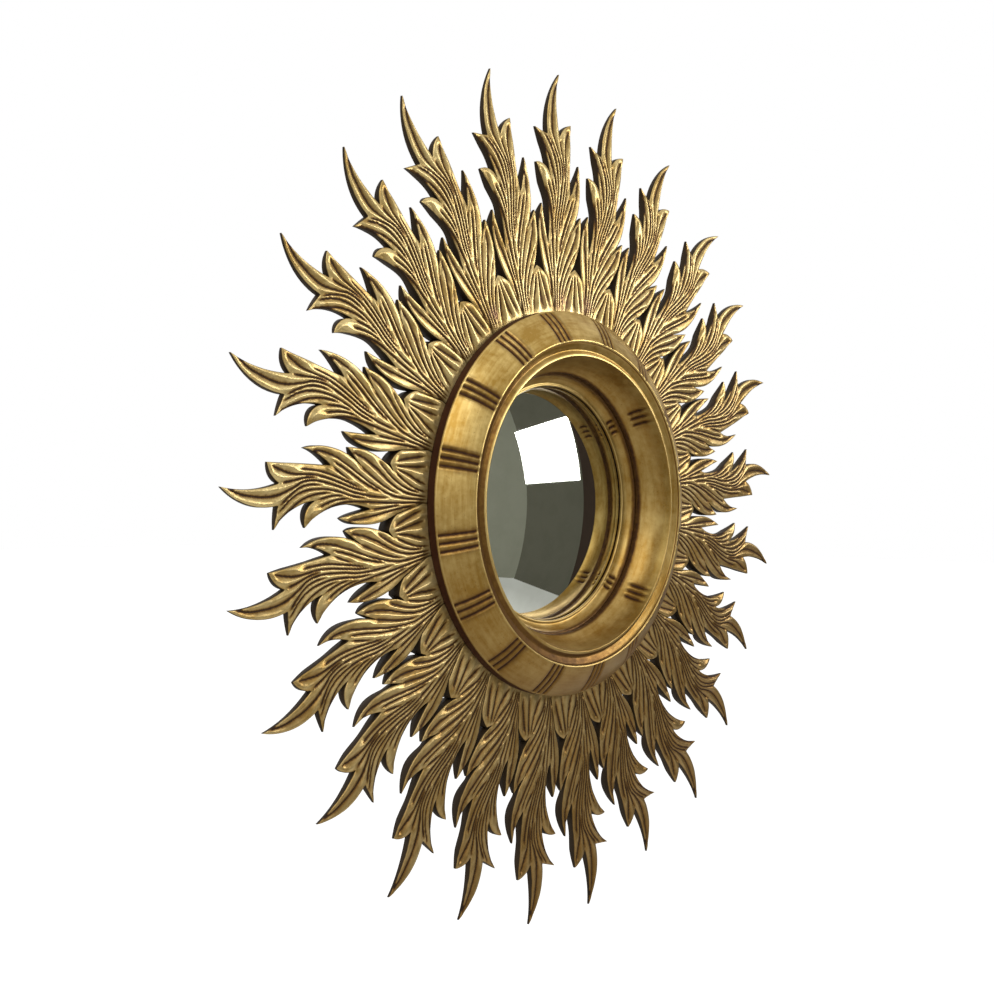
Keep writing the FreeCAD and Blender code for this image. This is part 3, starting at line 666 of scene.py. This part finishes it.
def build_typical():
    """The typical ray: its flat points, heights, layers, faces and marks.

    A height is below the flat front.  Layer 0 is the front, 1 the middle of the wall and
    2 the back."""
    rim = leaf_outline(OUTLINE_STEP)
    n = len(rim)
    way = np.roll(rim, -1, 0) - np.roll(rim, 1, 0)
    way /= np.linalg.norm(way, axis=1)[:, None]
    closed = np.vstack([rim, rim[:1]])
    tips = np.array([tip for rising, tip, falling, notch in LOBES] + [TONGUE_TIP])
    away = np.linalg.norm(rim[:, None] - tips[None], axis=2).min(1)
    worn = EDGE_ROUND * np.clip(away / EDGE_NARROWS, 0.25, 1)[:, None]
    inward = np.stack([way[:, 1], -way[:, 0]], 1) * worn
    cuts = made_cuts()
    verts, faces, first = typical_front(rim + inward, closed, cuts)
    depth, cut, pale = carved_depth(verts, nearest(verts, closed)[0], cuts)
    layers = [(verts, -depth, np.zeros(len(verts)), cut, pale, np.zeros(len(verts)))]
    rings = [first]
    count = len(verts)
    # the worn edge, then the wall: share of the way out, share of the drop, layer, mark
    for share, drop, layer, wall in ((0.55, 0.22, 0, 0.25), (1.0, 1.0, 0, 0.8),
                                     (1.0, 0.0, 1, 1.0)):
        ring = rim + inward * (1 - share)
        layers.append((ring, -depth[first] - worn[:, 0] * drop, np.full(n, layer),
                       cut[first] * (layer == 0), np.zeros(n), np.full(n, wall)))
        rings.append(np.arange(count, count + n))
        count += n
    inner = staggered(rim.min(0), rim.max(0), BACK_STEP)
    inner = inner[within(inner, closed)]
    inner = inner[nearest(inner, closed)[0] > 2.0]
    verts, back, last = filled(np.vstack([rim, inner]), [], n)
    m = len(verts)
    layers.append((verts, np.zeros(m), np.full(m, 2), np.zeros(m), np.zeros(m), np.ones(m)))
    rings.append(count + last)
    faces += [tuple(count + i for i in f)[::-1] for f in back]
    ahead = np.roll(np.arange(n), -1)
    for inside, outside in zip(rings[:-1], rings[1:]):
        faces += [tuple(int(i) for i in f) for f in np.stack(
            [inside, inside[ahead], outside[ahead], outside], 1)]
    flat, low, layer, cut, pale, wall = (np.concatenate(v) for v in zip(*layers))
    return flat, low, layer, faces, {"cut": cut, "pale": pale, "wall": wall}


def ray_tree():
    """Bends the typical ray to its own reach and lean and stands it in its place."""
    tree, given = new_group("ray bent to its place", "Geometry", [
        ("Reach", "Float", LEAF_TIP[1] * MM), ("Lean", "Float", 0.0), ("Angle", "Float", 0.0),
        ("Foot", "Float", LEAF_FOOT_R * MM), ("Tip", "Float", LEAF_TIP[1] * MM),
        ("Unevenness", "Float", UNEVENNESS * MM), ("Seed", "Float", 0.0)])
    at = add(tree, "GeometryNodeInputPosition").outputs[0]
    split = add(tree, "ShaderNodeSeparateXYZ", {0: at}).outputs
    beyond = maths(tree, "MAXIMUM", maths(tree, "SUBTRACT", split["Z"], given["Foot"]), 0.0)
    leaf = maths(tree, "SUBTRACT", given["Tip"], given["Foot"])
    share = maths(tree, "DIVIDE", beyond, leaf)
    longer = maths(tree, "SUBTRACT", given["Reach"], given["Tip"])
    out = maths(tree, "MULTIPLY_ADD", share, longer, split["Z"])
    moved = add(tree, "ShaderNodeCombineXYZ", {0: split["X"], 1: split["Y"], 2: out}).outputs[0]
    # the carver's hand: no two rays are quite alike
    seed = add(tree, "ShaderNodeCombineXYZ", {0: given["Seed"], 1: given["Seed"]}).outputs[0]
    uneven = noise(tree, vectors(tree, "ADD", moved, seed), 0.05, 1.0, out="Color")
    uneven = vectors(tree, "SUBTRACT", uneven, (0.5, 0.5, 0.5))
    uneven = vectors(tree, "MULTIPLY", uneven, (1.0, 0.0, 1.0))
    hand = vectors(tree, "SCALE", uneven, given["Unevenness"])
    moved = vectors(tree, "ADD", moved, hand)
    square = maths(tree, "POWER", share, 2.0)
    turn = maths(tree, "MULTIPLY_ADD", square, given["Lean"], given["Angle"])
    shape = add(tree, "GeometryNodeSetPosition", {
        "Geometry": given["Geometry"], "Position": turned_by(tree, moved, turn)}).outputs[0]
    give_out(tree, shape, given["Finish"])
    return tree


def thickness_at(out):
    """Front and back heights of a ray at a distance from the axis."""
    front = RAY_FRONT_H - FRONT_FALL * np.maximum(0, out - FRONT_FLAT_R) / (
        LEAF_TIP[1] - FRONT_FLAT_R)
    back = RAY_BACK_H + BACK_RELIEF * np.maximum(0, out - BACK_FLAT_R) / (
        LEAF_TIP[1] - BACK_FLAT_R)
    return front, back


def undercut(flat):
    """How far each point is from being a thinned tip, 0 at a tip and 1 clear of them all."""
    share = np.ones(len(flat))
    for (rising, tip, falling, notch), reach in zip(LOBES, TIP_REACH):
        away = np.clip(np.linalg.norm(flat - np.array(tip), axis=1) / reach, 0, 1)
        share = np.minimum(share, away)
    return share * (2 - share)


def rubbed_marks(flat, angle):
    """How far each point of a ray at an angle is rubbed to the bole."""
    rub = np.zeros(len(flat))
    for place_angle, out, spread in RUBBED_PLACES:
        spot = spun((0.0, out), (place_angle - angle + 180) % 360 - 180)
        gap = ((flat - np.array(spot)) ** 2).sum(1)
        rub = np.maximum(rub, np.exp(-gap / spread ** 2))
    return rub


def carve_rays():
    """All twenty-five rays, each standing for its solid."""
    flat, low, layer, faces, marks = build_typical()
    front, back = thickness_at(flat[:, 1])
    back = front - TIP_T - (front - TIP_T - back) * undercut(flat)
    height = np.select([layer == 0, layer == 1], [front + low, back + 0.45 * (front - back)],
                       back)
    solid = np.stack([flat[:, 0], -height, flat[:, 1]], 1) * MM
    tree = ray_tree()
    for number in range(RAY_COUNT):
        angle = FIRST_RAY_ANGLE + RAY_PITCH * number
        blank = mesh_from("blank", solid, faces, dict(marks, rub=rubbed_marks(flat, angle)))
        carved = worked_mesh("carved_ray_%02d" % (number + 1), blank, tree, {
            "Reach": (RAY_REACH[number] - REACH_SPARE) * MM,
            "Lean": math.radians(RAY_LEAN[number]), "Angle": math.radians(angle % 360),
            "Seed": float(SEED + number), "Finish": RAY_GOLD})
        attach(carved, "mirror")
        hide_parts("ray_%02d" % (number + 1))


# ------------------------------------------------------------------ turned pieces
def bulged(start, end, bulge, step):
    """Arc points of a turned section, bulging to the left of the way from start to end."""
    run = math.hypot(end[0] - start[0], end[1] - start[1])
    left = (-(end[1] - start[1]) / run, (end[0] - start[0]) / run)
    middle = ((start[0] + end[0]) / 2 + left[0] * bulge,
              (start[1] + end[1]) / 2 + left[1] * bulge)
    return arc_points(start, middle, end, step)


def turned_tree():
    """Turns a section about the mirror's axis and cuts groups of three V-cuts in it.

    Loose points of kind 1 and 2 beside the section, 1 m from the axis, say at which
    angles the band and the cove are cut."""
    tree, given = new_group("turned and cut", "Section", [
        ("Steps", "Int", TURNED_STEPS), ("Section points", "Int", 10),
        ("Cut half width", "Float", SHORT_CUT_HALF_W * MM),
        ("Cut depth", "Float", SHORT_CUT_DEPTH * MM), ("Darkest side", "Float", 0.0)])

    def named(name, kind):
        return add(tree, "GeometryNodeInputNamedAttribute", {"Name": name},
                   data_type=kind).outputs[0]

    def sample(geometry, value, kind, index):
        return add(tree, "GeometryNodeSampleIndex", {
            "Geometry": geometry, "Value": value, "Index": index}, data_type=kind).outputs[0]

    sheet = add(tree, "GeometryNodeMeshGrid", {
        "Vertices X": maths(tree, "ADD", given["Steps"], 1.0),
        "Vertices Y": given["Section points"]})
    uv = add(tree, "ShaderNodeSeparateXYZ", {0: sheet.outputs["UV Map"]}).outputs
    most = maths(tree, "SUBTRACT", given["Section points"], 1.0)
    row = maths(tree, "ROUND", maths(tree, "MULTIPLY", uv["Y"], most))
    at = add(tree, "GeometryNodeInputPosition").outputs[0]
    spot = sample(given["Section"], at, "FLOAT_VECTOR", row)
    normal = sample(given["Section"], named("normal", "FLOAT_VECTOR"), "FLOAT_VECTOR", row)
    own = {mark: sample(given["Section"], named(mark, "FLOAT"), "FLOAT", row)
           for mark in SECTION_MARKS}
    angle = maths(tree, "MULTIPLY", uv["X"], 2 * math.pi)
    radius = add(tree, "ShaderNodeSeparateXYZ", {0: spot}).outputs["Z"]
    heading = turned_by(tree, (0.0, 0.0, 1.0), angle)
    kind = named("kind", "FLOAT")
    depths, tones = [], []
    for which, low in (("band", 0.5), ("cove", 1.5)):
        chosen = maths(tree, "MULTIPLY", maths(tree, "GREATER_THAN", kind, low),
                       maths(tree, "LESS_THAN", kind, low + 1.0))
        cuts = add(tree, "GeometryNodeSeparateGeometry", {
            "Geometry": given["Section"], "Selection": chosen}, domain="POINT").outputs[0]
        near = add(tree, "GeometryNodeSampleNearest", {
            "Geometry": cuts, "Sample Position": heading}, domain="POINT").outputs[0]
        near = sample(cuts, at, "FLOAT_VECTOR", near)
        gap = maths(tree, "MULTIPLY", vectors(tree, "DISTANCE", near, heading), radius)
        vee = ranged(tree, gap, given["Cut half width"], 0.0)
        depths.append(maths(tree, "MULTIPLY", vee, own[which]))
        # the toning lingers up to 9 mm beside a cut
        tone = ranged(tree, gap, 0.009, 0.003, 0.0, 0.34)
        tones.append(maths(tree, "MULTIPLY", tone, own[which]))
    depth = maths(tree, "MAXIMUM", *depths)
    sunk = vectors(tree, "SCALE", normal, maths(tree, "MULTIPLY", depth, given["Cut depth"]))
    placed = turned_by(tree, vectors(tree, "SUBTRACT", spot, sunk), angle)
    # painted shade from the section's marks, strongest towards the darkest side, joins the
    # hollows' toning in the cut mark
    side = maths(tree, "COSINE", maths(tree, "SUBTRACT", angle, given["Darkest side"]))
    side = ranged(tree, side, -0.35, 0.6)
    dark = maths(tree, "MULTIPLY_ADD", own["painted_shade"], side, own["cut"])
    dark = maths(tree, "MAXIMUM", depth, dark)
    for tone in tones:
        dark = maths(tree, "MAXIMUM", dark, tone)
    shape = sheet.outputs["Mesh"]
    for mark, value in (("cut", dark), ("wall", own["wall"]), ("pale", own["pale"])):
        shape = add(tree, "GeometryNodeStoreNamedAttribute", {
            "Geometry": shape, "Name": mark, "Value": value}, data_type="FLOAT",
            domain="POINT").outputs[0]
    shape = add(tree, "GeometryNodeSetPosition", {"Geometry": shape,
                                                  "Position": placed}).outputs[0]
    shape = add(tree, "GeometryNodeMergeByDistance", {"Geometry": shape,
                                                      "Distance": 1e-6}).outputs[0]
    shape = add(tree, "GeometryNodeSetShadeSmooth", {"Geometry": shape}).outputs[0]
    give_out(tree, shape, given["Finish"])
    return tree


def section_points(section, cut_r, cut_reach, foot_r, foot_reach):
    """A turned section's points and their marks.  The short cuts keep to the middle of the
    hollow marked as a cove, and its foot is darkened."""
    points, marks = [], []
    for (start, bulge, step, mark), (end, *_) in zip(section, section[1:] + section[:1]):
        part = bulged(start, end, bulge, step) if bulge else run_points(start, end, step)
        for r, h in part:
            own = dict(mark)
            if "cove" in own:
                own["cove"] = float(np.clip(2 - 2 * abs(r - cut_r) / cut_reach, 0, 1))
                own["cut"] = float(np.clip(1 - abs(r - foot_r) / foot_reach, 0, 1) * 0.7)
            points.append((r, h))
            marks.append(own)
    return np.array(points), marks


def turned_piece(name, node, slot, tree, points, marks):
    """A turned and cut piece that stands for a solid."""
    closed = np.vstack([points, points[:1]])
    way = np.roll(points, -1, 0) - np.roll(points, 1, 0)
    way /= np.linalg.norm(way, axis=1)[:, None]
    outward = np.stack([way[:, 1], -way[:, 0]], 1)
    spots = [(0.0, -h * MM, r * MM) for r, h in closed]
    count = len(spots)
    kinds = [0.0] * count
    for groups, apart, kind in ((BAND_GROUPS, BAND_CUTS_APART, 1.0),
                                (COVE_GROUPS, COVE_CUTS_APART, 2.0)):
        for middle in groups:
            for step in (-1, 0, 1):
                turn = math.radians(middle + step * apart)
                spots.append((math.sin(turn), 0.0, math.cos(turn)))
                kinds.append(kind)
    loose = len(spots) - count
    mesh = bpy.data.meshes.new("section")
    mesh.from_pydata(spots, [(i, i + 1) for i in range(count - 1)], [])
    for mark in SECTION_MARKS:
        mark_points(mesh, mark, [m.get(mark, 0.0) for m in marks + marks[:1]] + [0.0] * loose)
    mark_points(mesh, "kind", kinds)
    normals = [(0.0, -v, u) for u, v in np.vstack([outward, outward[:1]])]
    mark_points(mesh, "normal", normals + [(0.0, 0.0, 0.0)] * loose, "FLOAT_VECTOR")
    piece = worked_mesh(name, mesh, tree, {
        "Section points": count, "Cut half width": SHORT_CUT_HALF_W * MM,
        "Cut depth": SHORT_CUT_DEPTH * MM, "Darkest side": math.radians(DARKEST_SIDE),
        "Finish": RING_GOLD})
    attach(piece, "mirror")
    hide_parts(node)


def turn_rings():
    """The turned ring and the sight ring."""
    tree = turned_tree()
    turned_piece("turned_ring", "ring_moulding", "gilt_ring", tree, *section_points(
        RING_SECTION, cut_r=144.0, cut_reach=5.2, foot_r=134.0, foot_reach=2.6))
    turned_piece("turned_sight_ring", "sight_ring", "gilt_sight_ring", tree, *section_points(
        SIGHT_SECTION, cut_r=128.6, cut_reach=3.2, foot_r=132.5, foot_reach=2.0))


# ------------------------------------------------------------------ domed glass
def domed_glass():
    """The glass as two like caps of even triangles, so that it mirrors without a flaw."""
    curve = (GLASS_R ** 2 + GLASS_SAG ** 2) / (2 * GLASS_SAG)
    spots, faces = [(0.0, 0.0)], []
    starts = [0]
    for ring in range(1, GLASS_RINGS + 1):
        starts.append(len(spots))
        r = GLASS_R * ring / GLASS_RINGS
        spots += [(r * math.sin(math.pi / 3 * k / ring), r * math.cos(math.pi / 3 * k / ring))
                  for k in range(6 * ring)]
    for ring in range(1, GLASS_RINGS + 1):
        outer, inner = 6 * ring, max(1, 6 * (ring - 1))
        for side in range(6):
            for k in range(ring):
                a = starts[ring] + (side * ring + k) % outer
                b = starts[ring] + (side * ring + k + 1) % outer
                c = starts[ring - 1] + (side * (ring - 1) + k) % inner
                faces.append((a, b, c))
                if k < ring - 1:
                    d = starts[ring - 1] + (side * (ring - 1) + k + 1) % inner
                    faces.append((b, d, c))
    flat = np.array(spots)
    rise = np.sqrt(curve ** 2 - (flat ** 2).sum(1)) - (curve - GLASS_SAG)
    count = len(flat)
    points = np.vstack([np.stack([flat[:, 0], -(GLASS_RIM_H - t + rise), flat[:, 1]], 1)
                        for t in (0.0, GLASS_T)]) * MM
    rim = starts[-1]
    number = 6 * GLASS_RINGS
    front = [f[::-1] for f in faces]
    back = [tuple(count + i for i in f) for f in faces]
    walls = [(rim + k, count + rim + k, count + rim + (k + 1) % number, rim + (k + 1) % number)
             for k in range(number)]
    mesh = mesh_from("domed_glass", points, front + back + walls, {})
    mesh.update()
    mesh.materials.append(MIRROR_SILVER)
    piece = new_object("domed_glass", mesh)
    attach(piece, "mirror")
    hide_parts("mirror_glass")


# ------------------------------------------------------------------ solids kept as they are
FINISHES = {
    "packing_ring": PACKING_FELT,
    "backboard": BACK_HARDBOARD,
    "carrier_ring": CARRIER_PLY,
    "ring_screws": ZINC,
    "backboard_screws": BRASS,
    "hanger_strap": STEEL,
    "hanger_ring": STEEL,
    "hanger_screws": ZINC,
}


def finish_kept():
    """Gives the solids that are shown as they are their finishes."""
    for node, finish in FINISHES.items():
        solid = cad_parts[node]
        if not solid.material_slots:
            solid.data.materials.append(finish)
        for slot in solid.material_slots:
            slot.material = finish


# ------------------------------------------------------------------ stage
def stand(item, place, target, axis):
    """Puts a stage object in its place with an axis of its own towards a target."""
    item.location = place
    item.rotation_euler = (Vector(target) - Vector(place)).to_track_quat(axis, "Y").to_euler()


def card(name, place, facing, width, height, paint):
    """A flat painted stage panel that faces a point."""
    mesh = bpy.data.meshes.new(name)
    w, h = width / 2, height / 2
    mesh.from_pydata([(-w, -h, 0), (w, -h, 0), (w, h, 0), (-w, h, 0)], [], [(0, 1, 2, 3)])
    mesh.materials.append(paint)
    panel = new_object(name, mesh)
    stand(panel, place, facing, "Z")
    return panel


def plain_paint(name, colour, glow):
    """Matt paint of the stage; its glow brings it up to white for the camera only."""
    finish, tree, shader, _ = new_finish(name)
    seen = add(tree, "ShaderNodeLightPath").outputs["Is Camera Ray"]
    feed(tree, shader, {
        "Base Color": linear(colour), "Roughness": 0.9, "Emission Color": (1, 1, 1, 1),
        "Emission Strength": maths(tree, "MULTIPLY", seen, glow)})
    return finish


def soft_lamp(name, place, width, height, power):
    """A rectangular lamp that points at the mirror."""
    lamp = bpy.data.lights.new(name, "AREA")
    lamp.shape = "RECTANGLE"
    lamp.size, lamp.size_y = width, height
    lamp.energy = power
    stand(new_object(name, lamp), place, (0, 0, 0), "-Z")


def white_world():
    """White surroundings, dimmer as light than they look."""
    world = bpy.data.worlds.new("white_studio")
    bpy.context.scene.world = world
    world.use_nodes = True
    tree = world.node_tree
    tree.nodes.clear()
    path = add(tree, "ShaderNodeLightPath").outputs
    seen = maths(tree, "MAXIMUM", path["Is Camera Ray"], path["Is Glossy Ray"])
    seen = maths(tree, "MAXIMUM", seen, path["Is Transmission Ray"])
    sky = add(tree, "ShaderNodeBackground", {
        "Color": (1, 1, 1, 1), "Strength": ranged(tree, seen, 0.0, 1.0, 0.55, 1.0)})
    add(tree, "ShaderNodeOutputWorld", {"Surface": sky.outputs[0]})


def studio():
    """Pale floor, white surroundings and soft light."""
    card("floor", (0, 0, FLOOR_Z), (0, 0, 5), FLOOR_SIDE, FLOOR_SIDE,
         plain_paint("pale_floor", "#f2f2f0", 0.6))
    # the glass and the gold show these, out of the camera's sight
    for name, heading, width, height, up, colour in CARDS:
        turn = math.radians(heading)
        place = (CARD_R * math.sin(turn), CARD_R * math.cos(turn), up)
        panel = card(name, place, (0, 0, up), width, height,
                     plain_paint(name + "_paint", colour, 0.0))
        panel.visible_camera = False
        panel.visible_diffuse = False
        panel.visible_shadow = False
    white_world()
    for name, place, width, height, power in LAMPS:
        soft_lamp(name, place, width, height, power)


def camera():
    """The photograph's viewpoint."""
    lens = bpy.data.cameras.new("camera")
    lens.sensor_fit = "AUTO"
    lens.sensor_width = SENSOR_MM
    lens.lens = FOCAL_PX / FRAME_PX * SENSOR_MM
    lens.clip_end = 50
    holder = new_object("camera", lens)
    turn = Vector(CAMERA_TURN) * math.radians(1)
    turned = Matrix.Rotation(turn.length, 3, turn.normalized())
    right, down, ahead = Matrix(((1, 0, 0), (0, 0, -1), (0, 1, 0))) @ turned
    holder.matrix_world = Matrix.Translation(CAMERA_AT) @ Matrix(
        (right, -down, -ahead)).transposed().to_4x4()
    bpy.context.scene.camera = holder
    bpy.context.scene.view_settings.view_transform = "Standard"


carve_rays()
turn_rings()
domed_glass()
finish_kept()
studio()
camera()
